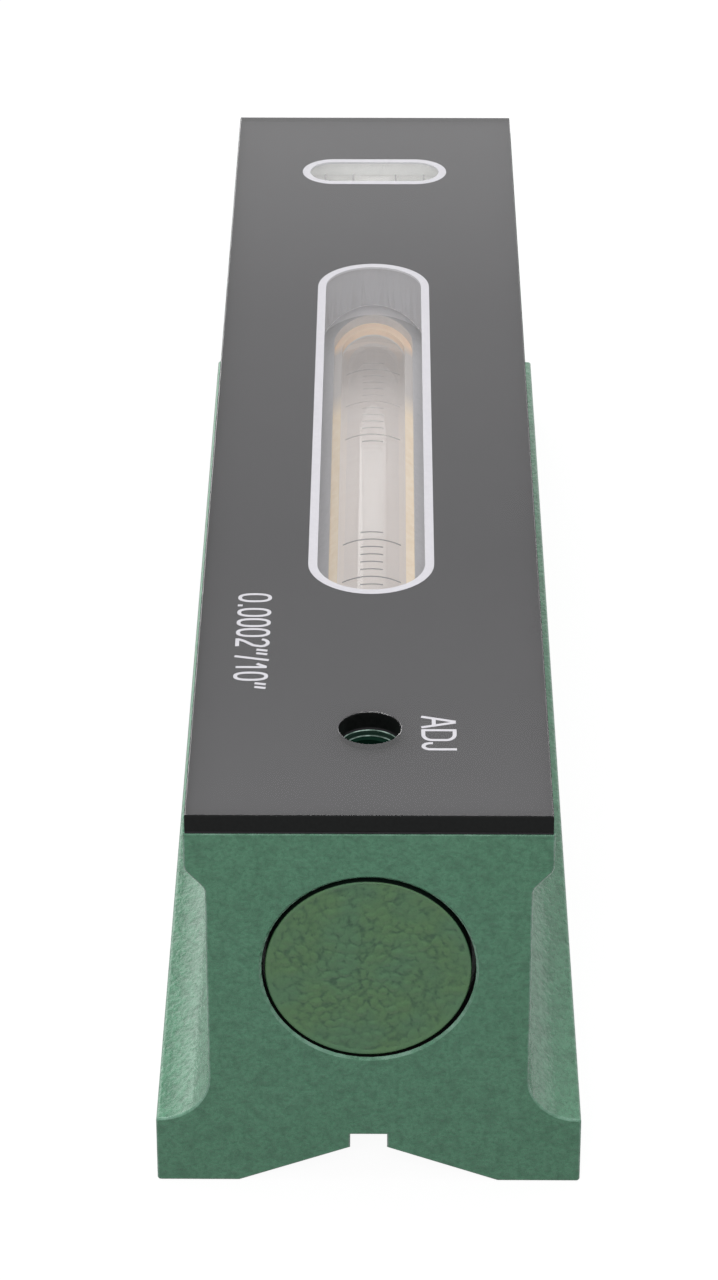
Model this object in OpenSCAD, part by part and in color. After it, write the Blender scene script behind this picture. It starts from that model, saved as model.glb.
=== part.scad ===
// Precision bar level with an adjustable main vial and a cross vial.
// The base rests on z = 0, the length runs along y and the adjusting end is at -y.

/* [Body] */
// Length of the level
level_length = 200; // [194:2:240]
// Width across the base flange
base_width = 48.4; // [46:0.2:54]
// Width of the head that carries the cover plate
head_width = 40.8; // [40:0.2:44]
// Width of the waist between flange and head
waist_width = 36.2; // [34:0.2:38]
// Height of the casting without its cover plate
body_height = 46.8; // [46.4:0.2:49]
// Height of the flange's side
flange_height = 8.6; // [7:0.2:10]
// Height of the head's straight side
head_side = 4.8; // [4:0.1:6]
// Height of the slope under the head
head_slope = 2.5; // [2:0.1:4]
// Rounding where the slope meets the head's side and the waist
slope_radius = 1.4; // [0.6:0.1:1.6]
// Rounding of the flange's outer edges
edge_radius = 0.4; // [0.2:0.1:0.8]

/* [V base] */
// Width of the V groove at the base
groove_width = 29.6; // [24:0.2:32]
// Angle between the flanks of the V groove
groove_angle = 140; // [130:1:150]
// Width of the relief slot at the top of the V groove
relief_width = 4.2; // [4.2:0.1:6]
// Depth of the relief slot above the flanks
relief_depth = 1.8; // [1:0.1:2.4]

/* [Main bore] */
// Diameter of the bore that holds the vial tube
bore_diameter = 24; // [23.4:0.2:25]
// Thickness of the roof over the bore
roof_thickness = 5.8; // [5.2:0.2:6.4]
// Bevel at the bore's two mouths
bore_bevel = 0.3; // [0.2:0.1:0.5]

/* [Cover plate] */
// Thickness of the clear cover plate
plate_thickness = 2; // [1.5:0.1:3]
// Thickness of the printed film under the plate
mask_thickness = 0.3; // [0.2:0.1:0.5]
// Step between the head's side and the plate's side
plate_inset = 0.2; // [0.1:0.1:0.6]
// Length of the main window over its white outline
main_window_length = 96; // [84:1:98]
// Width of the main window over its white outline
main_window_width = 15.3; // [14:0.1:16.5]
// Length of the cross window over its white outline, across the level
cross_window_length = 21; // [18:0.5:24]
// Width of the cross window over its white outline, along the level
cross_window_width = 9.2; // [8:0.1:10]
// Distance from the rear end to the middle of the cross window
cross_window_inset = 19.2; // [18:0.2:22]
// Width of the white outlines
outline_width = 1.1; // [0.7:0.1:1.5]
// Diameter of the plate's hole above the adjusting screw
access_diameter = 7; // [6.8:0.1:8]

/* [Vial tube] */
// Outer diameter of the slotted tube
tube_diameter = 20.5; // [20:0.1:20.8]
// Wall thickness of the tube
tube_wall = 1.25; // [1:0.05:1.3]
// Distance from each end of the level to the tube
tube_inset = 30; // [28:1:32]
// Width of the slot in the tube
tube_slot_width = 10.9; // [10:0.1:12]
// Width of the slot in the plaster
plaster_slot_width = 8.7; // [8:0.1:9.6]
// Distance from the rear end of the level to the pivot
pivot_inset = 36; // [35:0.5:37]
// Diameter of the pivot pin
pivot_diameter = 4; // [3:0.5:5]

/* [Main vial] */
// Outer diameter of the vial glass
vial_diameter = 16; // [15.4:0.1:16.4]
// Inner diameter of the vial glass
vial_bore = 12.4; // [11:0.1:13]
// Length of the bubble
bubble_length = 27; // [20:1:30]
// Depth of the bubble under the glass
bubble_depth = 0.5; // [0.3:0.1:1]
// Distance between two graduation lines
division = 2; // [2:0.1:2.2]
// Width of a graduation line
line_width = 0.22; // [0.15:0.01:0.3]
// Length of a short graduation line, across the vial
short_line = 2.85; // [2:0.05:4]
// Length of a long graduation line, across the vial
long_line = 7.4; // [5:0.1:7.6]

/* [Cross vial] */
// Outer diameter of the cross vial
cross_vial_diameter = 8.4; // [7.8:0.1:8.6]
// Length of the cross vial
cross_vial_length = 27; // [24:1:28]
// Length of the cross vial's bubble
cross_bubble_length = 5.8; // [4:0.1:7]
// Wall thickness of the trough that holds the cross vial
holder_wall = 0.95; // [0.8:0.05:1.2]

/* [Adjusting screw] */
// Distance from the front end to the adjusting screw
screw_inset = 19; // [18:0.5:20]
// Thread diameter of the adjusting screw
screw_diameter = 6; // [5.5:0.1:6.4]
// Bevel at the mouth of the tapped hole
hole_bevel = 0.4; // [0.2:0.1:0.5]
// Depth of the screw's top below the casting's top
screw_sink = 2.3; // [1.8:0.1:2.6]
// Width of the screw's hexagon socket across its flats
socket_width = 3; // [2.5:0.1:3]
// Outer diameter of the return spring
spring_diameter = 5.5; // [5:0.1:5.6]
// Wire diameter of the return spring
spring_wire = 0.7; // [0.5:0.1:0.8]
// Active turns of the return spring
spring_turns = 5; // [4:1:6]
// Wall between the spring's pocket and the relief slot
pocket_wall = 4.6; // [4:0.2:6]

/* [End covers] */
// Depth of the end covers' faces inside the bore's mouths
plug_sink = 0.45; // [0.2:0.05:1]
// Thickness of the end covers
plug_thickness = 5; // [4:0.5:6]
// Dark gap around the face of the end covers
plug_gap = 0.35; // [0.2:0.05:0.5]

/* [Hidden] */
$fn = 96;

// Small values shared by several parts
cut = 1;
running_gap = 0.05;
contact_gap = 0.1;

// Body
half_length = level_length / 2;
cove_radius = (base_width - waist_width) / 2 - edge_radius;
slope_high = [head_width / 2, body_height - head_side];
slope_low = [waist_width / 2, body_height - head_side - head_slope];
slope_angle = atan2(slope_high[1] - slope_low[1], slope_high[0] - slope_low[0]);
groove_slope = (180 - groove_angle) / 2;
groove_top = (groove_width - relief_width) / 2 * tan(groove_slope);
relief_top = groove_top + relief_depth;
bore_radius = bore_diameter / 2;
bore_height = body_height - roof_thickness - bore_radius;

// Cover plate
plate_width = head_width - 2 * plate_inset;
plate_bottom = body_height + mask_thickness;
cross_window_y = half_length - cross_window_inset;
screw_y = screw_inset - half_length;

// Vial tube
tube_half = half_length - tube_inset;
tube_radius = tube_diameter / 2;
tube_inner = tube_radius - tube_wall;
tube_slot_length = main_window_length;
plaster_lip = 2;
plaster_slot_length = tube_slot_length - 2 * plaster_lip;
pivot_y = half_length - pivot_inset;
pivot_blind_wall = 2.1;
pin_sink = 0.3;
pin_hole_room = 0.3;
rear_end_length = 12;
shank_length = 8;
seat_half_height = 7.9;
tongue_reach = 9;
tongue_end = screw_y - tongue_reach;
boss_height = 1.5;

// Main vial
vial_radius = vial_diameter / 2;
vial_end_room = 14;
vial_half = tube_half - vial_end_room;
vial_end_wall = 2.5;
plaster_cap = 2;
plaster_half = vial_half + plaster_cap;
graduation_depth = 0.06;
first_long_line = 15;
bubble_gap = 0.02;
spirit_top = vial_bore / 2 - bubble_depth;

// Cross vial
cross_vial_radius = cross_vial_diameter / 2;
cross_vial_wall = 0.9;
holder_radius = cross_vial_radius + holder_wall;
holder_half_length = cross_vial_length / 2 + 1.5;
cross_vial_z = body_height - cross_vial_radius - 0.6;
cross_spirit_radius = cross_vial_radius - cross_vial_wall;
cross_spirit_length = cross_vial_length - 4 * cross_vial_wall;
cross_bubble_depth = 0.6;
cross_spirit_top = cross_vial_z + cross_spirit_radius - cross_bubble_depth;
cross_line_offsets = [-7.2, -3.1, 3.1, 7.2];
cross_line = 5;

// Adjusting screw
screw_top = body_height - screw_sink;
seat_z = bore_height + seat_half_height;
pad_thickness = 1.5;
pad_bottom = seat_z + contact_gap;
screw_bottom = pad_bottom + pad_thickness;
screw_radius = screw_diameter / 2 - running_gap;
pad_radius = 2.25;
stem_radius = 1.2;
stem_length = 1.6;
socket_depth = 2.4;
spring_seat_z = bore_height - seat_half_height;
spring_floor = relief_top + pocket_wall;
spring_height = spring_seat_z - spring_floor;
spring_path_radius = (spring_diameter - spring_wire) / 2;
spring_room = 0.5;
spring_inner = spring_diameter - 2 * spring_wire;
tip_bevel = 0.5;

// End covers
plug_face = half_length - plug_sink;
plug_step = 2;

// Colours
paint_green = [0.30, 0.43, 0.34];
plaster_cream = [0.86, 0.78, 0.70];
metal_grey = [0.62, 0.61, 0.60];

// Places a shape drawn in x and z along the level, from y = start to y = end
module along_level(start, end) {
    translate([0, end, 0]) rotate([90, 0, 0]) linear_extrude(height = end - start) children();
}

// A cylinder along y on the main bore's axis
module bore_cylinder(radius, start, end) {
    translate([0, end, bore_height]) rotate([90, 0, 0]) cylinder(r = radius, h = end - start);
}

// A slot outline with round ends, with its length along y
module obround(length, width) {
    square([width, length - width], center = true);
    for (side = [-1, 1]) translate([0, side * (length - width) / 2]) circle(d = width);
}

// A slot outline with round ends, with its length along x
module cross_obround(length, width) {
    rotate(90) obround(length, width);
}

function direction(angle) = [cos(angle), sin(angle)];

// The sliver between a corner and the arc that rounds it. Two edges leave the corner in the
// directions from and to, with the arc's centre between them.
module corner_sliver(corner, from, to, radius) {
    half = (to - from) / 2;
    reach = radius / tan(half);
    difference() {
        polygon([corner, corner + reach * direction(from), corner + reach * direction(to)]);
        translate(corner + radius / sin(half) * direction((from + to) / 2)) circle(r = radius);
    }
}

// Right half of the casting's section
module half_section() {
    difference() {
        union() {
            square([base_width / 2, flange_height]);
            square([waist_width / 2, body_height]);
            translate([waist_width / 2, flange_height]) square(cove_radius);
            polygon([
                [0, slope_low[1]],
                slope_low,
                slope_high,
                [head_width / 2, body_height],
                [0, body_height]
            ]);
            corner_sliver(slope_low, -90, slope_angle, slope_radius);
        }
        translate([waist_width / 2 + cove_radius, flange_height + cove_radius]) circle(r = cove_radius);
        corner_sliver(slope_high, 90, 180 + slope_angle, slope_radius);
        corner_sliver([base_width / 2, flange_height], 180, 270, edge_radius);
        corner_sliver([base_width / 2, 0], 90, 180, edge_radius);
    }
}

// The V groove and its relief slot, as cut from the section
module base_cut() {
    polygon([
        [-groove_width / 2 - cut, -cut * tan(groove_slope)],
        [groove_width / 2 + cut, -cut * tan(groove_slope)],
        [relief_width / 2, groove_top],
        [relief_width / 2, relief_top],
        [-relief_width / 2, relief_top],
        [-relief_width / 2, groove_top]
    ]);
}

module section() {
    difference() {
        union() {
            half_section();
            mirror([1, 0]) half_section();
        }
        base_cut();
    }
}

// A bevel at a mouth of the bore, for the end at +y
module mouth_bevel() {
    translate([0, half_length - bore_bevel, bore_height])
        rotate([-90, 0, 0])
            cylinder(r1 = bore_radius, r2 = bore_radius + 2 * bore_bevel, h = 2 * bore_bevel);
}

// The pocket for the cross vial's holder, open to the top
module cross_pocket() {
    translate([-holder_half_length, cross_window_y, cross_vial_z])
        rotate([0, 90, 0]) cylinder(r = holder_radius, h = 2 * holder_half_length);
    translate([-holder_half_length, cross_window_y - holder_radius, cross_vial_z])
        cube([2 * holder_half_length, 2 * holder_radius, body_height]);
}

module body() {
    color(paint_green)
    difference() {
        along_level(-half_length, half_length) section();
        bore_cylinder(bore_radius, -half_length - cut, half_length + cut);
        mouth_bevel();
        mirror([0, 1, 0]) mouth_bevel();
        // Main window through the roof
        translate([0, 0, bore_height])
            linear_extrude(height = body_height)
                obround(main_window_length - outline_width, main_window_width - outline_width);
        cross_pocket();
        // Tapped hole for the adjusting screw, with its mouth bevel
        translate([0, screw_y, bore_height]) cylinder(d = screw_diameter, h = body_height);
        translate([0, screw_y, body_height - hole_bevel])
            cylinder(r1 = screw_diameter / 2, r2 = screw_diameter / 2 + 2 * hole_bevel, h = 2 * hole_bevel);
        // Pocket for the return spring
        translate([0, screw_y, spring_floor])
            cylinder(d = spring_diameter + 2 * spring_room, h = bore_height - spring_floor);
        // Cross hole for the pivot pin, drilled from the left
        translate([-base_width, pivot_y, bore_height])
            rotate([0, 90, 0])
                cylinder(d = pivot_diameter, h = base_width + waist_width / 2 - pivot_blind_wall);
    }
}

// The outline of the cover with its hole above the adjusting screw
module cover_outline() {
    difference() {
        square([plate_width, level_length], center = true);
        translate([0, screw_y]) circle(d = access_diameter);
    }
}

module top_plate() {
    color([0.75, 0.78, 0.82, 0.35])
    translate([0, 0, plate_bottom]) linear_extrude(height = plate_thickness) cover_outline();
}

module printed_mask() {
    color([0.12, 0.12, 0.13])
    translate([0, 0, body_height])
        linear_extrude(height = mask_thickness)
            difference() {
                cover_outline();
                obround(main_window_length, main_window_width);
                translate([0, cross_window_y]) cross_obround(cross_window_length, cross_window_width);
            }
}

module main_window_outline() {
    color("white")
    translate([0, 0, body_height])
        linear_extrude(height = mask_thickness)
            difference() {
                obround(main_window_length, main_window_width);
                obround(main_window_length - 2 * outline_width, main_window_width - 2 * outline_width);
            }
}

module cross_window_outline() {
    color("white")
    translate([0, cross_window_y, body_height])
        linear_extrude(height = mask_thickness)
            difference() {
                cross_obround(cross_window_length, cross_window_width);
                cross_obround(
                    cross_window_length - 2 * outline_width,
                    cross_window_width - 2 * outline_width
                );
            }
}

// An end cover for the mouth at +y: a seat pressed into the bore, and a stepped face
module end_cover() {
    color(paint_green) {
        bore_cylinder(bore_radius, plug_face - plug_thickness, plug_face - plug_step);
        bore_cylinder(bore_radius - plug_gap, plug_face - plug_step, plug_face);
    }
}

module front_plug() {
    mirror([0, 1, 0]) end_cover();
}

module rear_plug() {
    end_cover();
}

module pivot_pin() {
    color(metal_grey)
    translate([-waist_width / 2 + pin_sink, pivot_y, bore_height])
        rotate([0, 90, 0])
            cylinder(d = pivot_diameter, h = waist_width - pin_sink - pivot_blind_wall);
}

module vial_tube() {
    color(metal_grey)
    difference() {
        bore_cylinder(tube_radius, -tube_half, tube_half);
        bore_cylinder(tube_inner, -tube_half - cut, tube_half + cut);
        translate([0, 0, bore_height])
            linear_extrude(height = tube_diameter) obround(tube_slot_length, tube_slot_width);
        // Clearance for the pivot pin in the tube's wall
        translate([-tube_diameter, pivot_y, bore_height])
            rotate([0, 90, 0]) cylinder(d = pivot_diameter + 2 * pin_hole_room, h = 2 * tube_diameter);
    }
}

module plaster_bed() {
    color(plaster_cream)
    difference() {
        bore_cylinder(tube_inner, -plaster_half, plaster_half);
        bore_cylinder(vial_radius, -vial_half, vial_half);
        translate([0, 0, bore_height])
            linear_extrude(height = tube_diameter) obround(plaster_slot_length, plaster_slot_width);
    }
}

// Turned front end: a shank in the tube and a tongue with two flats under the screw
module tube_front_end() {
    color(metal_grey) {
        bore_cylinder(tube_inner, -tube_half, -tube_half + shank_length);
        intersection() {
            bore_cylinder(tube_radius, tongue_end, -tube_half);
            translate([-tube_radius, tongue_end, spring_seat_z])
                cube([tube_diameter, level_length, 2 * seat_half_height]);
        }
        // Boss that keeps the spring in place
        translate([0, screw_y, spring_seat_z - boss_height])
            cylinder(d1 = spring_inner - 1, d2 = spring_inner - 0.5, h = boss_height);
    }
}

// Turned rear end, bored across for the pivot pin
module tube_rear_end() {
    color(metal_grey)
    difference() {
        bore_cylinder(tube_inner, tube_half - rear_end_length, tube_half);
        translate([-tube_diameter, pivot_y, bore_height])
            rotate([0, 90, 0])
                cylinder(d = pivot_diameter + 2 * running_gap, h = 2 * tube_diameter);
    }
}

// The vial is closed at both ends, and its hollow holds the spirit and the bubble
module vial_glass() {
    color([0.85, 0.88, 0.86, 0.4])
    difference() {
        bore_cylinder(vial_radius, -vial_half, vial_half);
        bore_cylinder(vial_bore / 2, -vial_half + vial_end_wall, vial_half - vial_end_wall);
    }
}

// Width of a round vial's inside at a depth below its top
function chord(radius, depth) = 2 * sqrt(depth * (2 * radius - depth));

// One line across the top of a vial whose axis is y, at the given place along it
module graduation(place, length, radius, width) {
    intersection() {
        translate([0, place + width / 2, 0]) rotate([90, 0, 0]) difference() {
            cylinder(r = radius + graduation_depth, h = width);
            translate([0, 0, -cut]) cylinder(r = radius, h = width + 2 * cut);
        }
        translate([-length / 2, place - width, 0]) cube([length, 2 * width, 2 * radius]);
    }
}

// Five divisions lie between two long lines, and one short line stands inside the first long line
module vial_graduations() {
    color([0.15, 0.14, 0.14])
    translate([0, 0, bore_height])
        for (side = [-1, 1], step = [-1 : 11]) {
            is_long = step == 0 || step == 5 || step == 10;
            graduation(
                side * (first_long_line + step * division),
                is_long ? long_line : short_line, vial_radius, line_width
            );
        }
}

module vial_spirit() {
    color([0.90, 0.88, 0.80, 0.4])
    difference() {
        bore_cylinder(vial_bore / 2, -vial_half + vial_end_wall, vial_half - vial_end_wall);
        translate([-vial_bore, -level_length, bore_height + spirit_top])
            cube([2 * vial_bore, 2 * level_length, vial_bore]);
    }
}

module main_bubble() {
    color([1, 1, 1, 0.6])
    intersection() {
        bore_cylinder(vial_bore / 2 - bubble_gap, -bubble_length / 2, bubble_length / 2);
        translate([0, 0, bore_height + spirit_top + bubble_gap])
            linear_extrude(height = vial_bore) obround(bubble_length, chord(vial_bore / 2, bubble_depth));
    }
}

// Swivel pad: a disc with a stem that turns in the screw's tip
module thrust_pad() {
    color([0.75, 0.62, 0.35])
    translate([0, screw_y, pad_bottom]) {
        cylinder(r = pad_radius, h = pad_thickness - contact_gap / 2);
        cylinder(r = stem_radius, h = pad_thickness + stem_length);
    }
}

module adjusting_screw() {
    color(metal_grey)
    translate([0, screw_y, 0])
    difference() {
        rotate_extrude() polygon([
            [0, screw_bottom],
            [screw_radius - tip_bevel, screw_bottom],
            [screw_radius, screw_bottom + tip_bevel],
            [screw_radius, screw_top - tip_bevel],
            [screw_radius - tip_bevel, screw_top],
            [0, screw_top]
        ]);
        translate([0, 0, screw_top - socket_depth])
            cylinder(d = socket_width / cos(30), h = socket_depth + cut, $fn = 6);
        translate([0, 0, screw_bottom - cut])
            cylinder(r = stem_radius + running_gap, h = stem_length + 0.2 + cut);
    }
}

// The spring is a round wire swept along a helix, with a closed turn at each end
spring_sides = 6;
spring_steps_per_turn = 16;
closed_pitch = 1.04 * spring_wire;
open_pitch = (spring_height - spring_wire - 2 * closed_pitch) / spring_turns;
spring_rings = (spring_turns + 2) * spring_steps_per_turn + 1;
function spring_rise(turn) =
    closed_pitch * (min(turn, 1) + max(turn - spring_turns - 1, 0))
    + open_pitch * min(max(turn - 1, 0), spring_turns);
function spring_point(ring, side) =
    let (
        turn = ring / spring_steps_per_turn,
        around = 360 * turn,
        wire = 360 * side / spring_sides + 90,
        reach = spring_path_radius + spring_wire / 2 * cos(wire),
        rise = spring_rise(turn) + spring_wire / 2 * (1 + sin(wire))
    )
    [reach * cos(around), reach * sin(around), rise];

module return_spring() {
    points = [
        for (ring = [0 : spring_rings - 1], side = [0 : spring_sides - 1]) spring_point(ring, side)
    ];
    sides = [
        for (ring = [0 : spring_rings - 2], side = [0 : spring_sides - 1])
            let (next = (side + 1) % spring_sides)
            [
                ring * spring_sides + side,
                ring * spring_sides + next,
                (ring + 1) * spring_sides + next,
                (ring + 1) * spring_sides + side
            ]
    ];
    first_cap = [for (side = [spring_sides - 1 : -1 : 0]) side];
    last_cap = [for (side = [0 : spring_sides - 1]) (spring_rings - 1) * spring_sides + side];
    color([0.7, 0.7, 0.72])
    translate([0, screw_y, spring_floor])
        polyhedron(points = points, faces = concat([first_cap], sides, [last_cap]));
}

// Trough with closed ends, open to the top, set in the body's pocket
module cross_vial_holder() {
    color([0.9, 0.9, 0.88])
    translate([0, cross_window_y, cross_vial_z])
    difference() {
        union() {
            translate([-holder_half_length, 0, 0])
                rotate([0, 90, 0]) cylinder(r = holder_radius, h = 2 * holder_half_length);
            translate([-holder_half_length, -holder_radius, 0])
                cube([2 * holder_half_length, 2 * holder_radius, body_height - cross_vial_z]);
        }
        translate([-cross_vial_length / 2, 0, 0])
            rotate([0, 90, 0]) cylinder(r = cross_vial_radius, h = cross_vial_length);
        translate([-cross_vial_length / 2, -cross_vial_radius, 0])
            cube([cross_vial_length, cross_vial_diameter, body_height]);
        // The rim is flush with the casting's top
        translate([-level_length / 2, -holder_radius - cut, body_height - cross_vial_z])
            cube([level_length, 2 * (holder_radius + cut), holder_radius]);
    }
}

// A cylinder along x on the cross vial's axis
module cross_cylinder(radius, length) {
    translate([-length / 2, cross_window_y, cross_vial_z])
        rotate([0, 90, 0]) cylinder(r = radius, h = length);
}

module cross_vial_glass() {
    color([0.85, 0.88, 0.86, 0.4])
    difference() {
        cross_cylinder(cross_vial_radius, cross_vial_length);
        cross_cylinder(cross_spirit_radius, cross_spirit_length);
    }
}

module cross_vial_graduations() {
    color([0.15, 0.14, 0.14])
    translate([0, cross_window_y, cross_vial_z])
        rotate(90)
            for (place = cross_line_offsets) graduation(place, cross_line, cross_vial_radius, line_width);
}

module cross_vial_spirit() {
    color([0.90, 0.88, 0.80, 0.4])
    difference() {
        cross_cylinder(cross_spirit_radius, cross_spirit_length);
        translate([-cross_vial_length, cross_window_y - holder_radius, cross_spirit_top])
            cube([2 * cross_vial_length, 2 * holder_radius, holder_radius]);
    }
}

module cross_bubble() {
    color([1, 1, 1, 0.6])
    intersection() {
        cross_cylinder(cross_spirit_radius - bubble_gap, cross_bubble_length);
        translate([0, cross_window_y, cross_spirit_top + bubble_gap])
            linear_extrude(height = holder_radius)
                cross_obround(cross_bubble_length, chord(cross_spirit_radius, cross_bubble_depth));
    }
}

body();
top_plate();
printed_mask();
main_window_outline();
cross_window_outline();
front_plug();
rear_plug();
pivot_pin();
vial_tube();
plaster_bed();
tube_front_end();
tube_rear_end();
vial_glass();
vial_graduations();
vial_spirit();
main_bubble();
thrust_pad();
adjusting_screw();
return_spring();
cross_vial_holder();
cross_vial_glass();
cross_vial_graduations();
cross_vial_spirit();
cross_bubble();
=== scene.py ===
import bpy
import math
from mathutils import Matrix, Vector


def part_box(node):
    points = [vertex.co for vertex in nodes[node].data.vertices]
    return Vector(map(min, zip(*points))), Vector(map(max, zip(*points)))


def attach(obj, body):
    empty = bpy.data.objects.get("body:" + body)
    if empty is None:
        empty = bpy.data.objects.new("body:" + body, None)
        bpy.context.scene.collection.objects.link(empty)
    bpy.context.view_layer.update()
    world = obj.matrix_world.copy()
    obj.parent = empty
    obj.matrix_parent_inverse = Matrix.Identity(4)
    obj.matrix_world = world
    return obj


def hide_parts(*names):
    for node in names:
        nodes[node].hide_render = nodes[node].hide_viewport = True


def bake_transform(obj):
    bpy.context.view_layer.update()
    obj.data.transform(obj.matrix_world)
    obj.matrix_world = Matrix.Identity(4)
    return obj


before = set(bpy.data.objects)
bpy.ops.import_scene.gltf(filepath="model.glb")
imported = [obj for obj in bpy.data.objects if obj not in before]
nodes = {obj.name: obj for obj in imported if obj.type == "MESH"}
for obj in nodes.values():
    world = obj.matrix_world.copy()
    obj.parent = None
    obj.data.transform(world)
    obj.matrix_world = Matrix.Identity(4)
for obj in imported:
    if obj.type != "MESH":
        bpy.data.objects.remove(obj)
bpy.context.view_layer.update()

# Bar level: the camera, the finishes, the pieces from the casting outwards, and the studio last.
# The part's lengths are in millimetres, and mm() turns them into Blender's metres.
# The camera's and the studio's places and sizes are in metres.

print("frame loaded,", len(nodes), "CAD nodes")


def mm(*lengths):
    metres = tuple(length / 1000 for length in lengths)
    return metres[0] if len(metres) == 1 else metres


# selection and mesh helpers

def setMode(mode):
    bpy.ops.object.mode_set(mode=mode)


def selectAll():
    bpy.ops.mesh.select_all(action="SELECT")


def pick(*pieces):
    if bpy.context.object and bpy.context.object.mode != "OBJECT":
        setMode("OBJECT")
    bpy.ops.object.select_all(action="DESELECT")
    for piece in pieces:
        piece.select_set(True)
    bpy.context.view_layer.objects.active = pieces[0] if pieces else None


def named(name):
    # names the primitive that was just added
    piece = bpy.context.object
    piece.name = name
    piece.data.name = name
    return piece


def applyPlace(piece):
    pick(piece)
    bpy.ops.object.transform_apply(location=True, rotation=True, scale=True)


def applyModifier(piece, kind, **settings):
    pick(piece)
    modifier = piece.modifiers.new(kind.lower(), kind)
    for setting, value in settings.items():
        setattr(modifier, setting, value)
    bpy.ops.object.modifier_apply(modifier=modifier.name)


def clearSelection(piece, kind):
    pick(piece)
    setMode("EDIT")
    bpy.ops.mesh.select_mode(type=kind)
    bpy.ops.mesh.select_all(action="DESELECT")
    setMode("OBJECT")


def selectFaces(piece, test):
    # leaves the piece in edit mode with the faces that pass the test selected
    clearSelection(piece, "FACE")
    for face in piece.data.polygons:
        face.select = test(face)
    setMode("EDIT")


def selectEdges(piece, test):
    # the same for edges, where the test gets the two ends
    clearSelection(piece, "EDGE")
    points = piece.data.vertices
    for edge in piece.data.edges:
        edge.select = test(points[edge.vertices[0]].co, points[edge.vertices[1]].co)
    setMode("EDIT")


def weld(reach):
    # for the piece in edit mode
    selectAll()
    bpy.ops.mesh.remove_doubles(threshold=mm(reach))


def mergeClose(piece):
    pick(piece)
    setMode("EDIT")
    weld(closeReach)
    bpy.ops.mesh.dissolve_degenerate(threshold=mm(closeReach) / 4)
    setMode("OBJECT")


def turnOutwards():
    # for the piece in edit mode, which it takes back to object mode
    selectAll()
    bpy.ops.mesh.normals_make_consistent(inside=False)
    setMode("OBJECT")


def flattenFaces(piece):
    # flat faces along an axis keep their own shading beside a rounded edge
    for face in piece.data.polygons:
        if max(abs(part) for part in face.normal) > straightOn:
            face.use_smooth = False


def copyNode(name, nodeName):
    piece = bpy.data.objects.new(name, nodes[nodeName].data.copy())
    bpy.context.collection.objects.link(piece)
    piece.data.materials.clear()
    return piece


def cutWith(piece, cutter, operation="DIFFERENCE"):
    applyModifier(piece, "BOOLEAN", operation=operation, object=cutter, solver="EXACT")
    bpy.data.objects.remove(cutter)


def finishPiece(piece, body, material, replaced=(), smoothAngle=35):
    applyPlace(piece)
    bpy.ops.object.shade_smooth_by_angle(angle=math.radians(smoothAngle))
    if not piece.data.materials:
        piece.data.materials.append(material)
    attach(piece, body)
    if replaced:
        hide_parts(*replaced)


def rodAlongY(name, radius, start, end, vertices):
    # a rod on the main bore's axis
    bpy.ops.mesh.primitive_cylinder_add(
        vertices=vertices, radius=mm(radius), depth=mm(end - start),
        location=mm(0, (start + end) / 2, boreHeight), rotation=(math.pi / 2, 0, 0))
    piece = named(name)
    applyPlace(piece)
    return piece


# sizes that several pieces share, read from the CAD nodes where they can be
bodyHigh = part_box("body")[1]
halfLength = bodyHigh.y * 1000
castingTop = bodyHigh.z * 1000
boreHeight = 29.0
boreRadius = 12.0
screwY = -81.0
crossY = 80.8
crossHeight = 42.0

# how close points are merged in finished, copied and drawn meshes
closeReach = 0.002
weldReach = 0.001
drawnReach = 0.0001
# how near a face or an edge is to the place that tells which it is, and how square to an axis
margin = 0.01
straightOn = 0.9999

# camera, fitted to the photograph's corners of the plate and the base

cameraFit = {
    "place": (0.00145166, -0.49251643, 0.29101673),
    "pitchDown": 29.2606,
    "turn": 0.3715,
    "lens": 118.835,
    "sensor": 36.0,
}

bpy.ops.object.camera_add(
    location=cameraFit["place"],
    rotation=(math.radians(90 - cameraFit["pitchDown"]), 0, math.radians(cameraFit["turn"])))
camera = bpy.context.object
camera.name = "camera"
camera.data.lens = cameraFit["lens"]
camera.data.sensor_width = cameraFit["sensor"]
camera.data.clip_start = 0.01
camera.data.clip_end = 50
bpy.context.scene.camera = camera
print("camera placed")


# node helpers

def setInput(socket, value):
    if isinstance(value, bpy.types.NodeSocket):
        socket.id_data.links.new(value, socket)
    else:
        socket.default_value = value


def addNode(tree, kind, inputs=None, **options):
    node = tree.nodes.new("ShaderNode" + kind)
    for option, value in options.items():
        setattr(node, option, value)
    for name, value in (inputs or {}).items():
        setInput(node.inputs[name], value)
    return node


def calc(operation, first, second=0.0):
    # a node helper takes its tree from a socket that it gets
    tree = first.id_data if isinstance(first, bpy.types.NodeSocket) else second.id_data
    return addNode(tree, "Math", {0: first, 1: second}, operation=operation).outputs[0]


def both(first, *others):
    # a product, which for masks is 1 where all of them are
    for other in others:
        first = calc("MULTIPLY", first, other)
    return first


def either(first, *others):
    for other in others:
        first = calc("MAXIMUM", first, other)
    return first


def isBelow(value, limit):
    return calc("LESS_THAN", value, limit)


def isAbove(value, limit):
    return calc("GREATER_THAN", value, limit)


def isBetween(value, low, high):
    return both(isAbove(value, low), isBelow(value, high))


def distance(across, along):
    return calc("SQRT", calc("ADD", both(across, across), both(along, along)))


def splitAxes(place):
    return addNode(place.id_data, "SeparateXYZ", {0: place}).outputs


def remap(value, low, high, newLow=0.0, newHigh=1.0):
    node = addNode(value.id_data, "MapRange", {
        "Value": value, "From Min": low, "From Max": high, "To Min": newLow, "To Max": newHigh})
    return node.outputs["Result"]


def blend(amount, first, second):
    node = addNode(amount.id_data, "Mix", data_type="RGBA")
    setInput(node.inputs[0], amount)
    setInput(node.inputs[6], first)
    setInput(node.inputs[7], second)
    return node.outputs[2]


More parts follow.
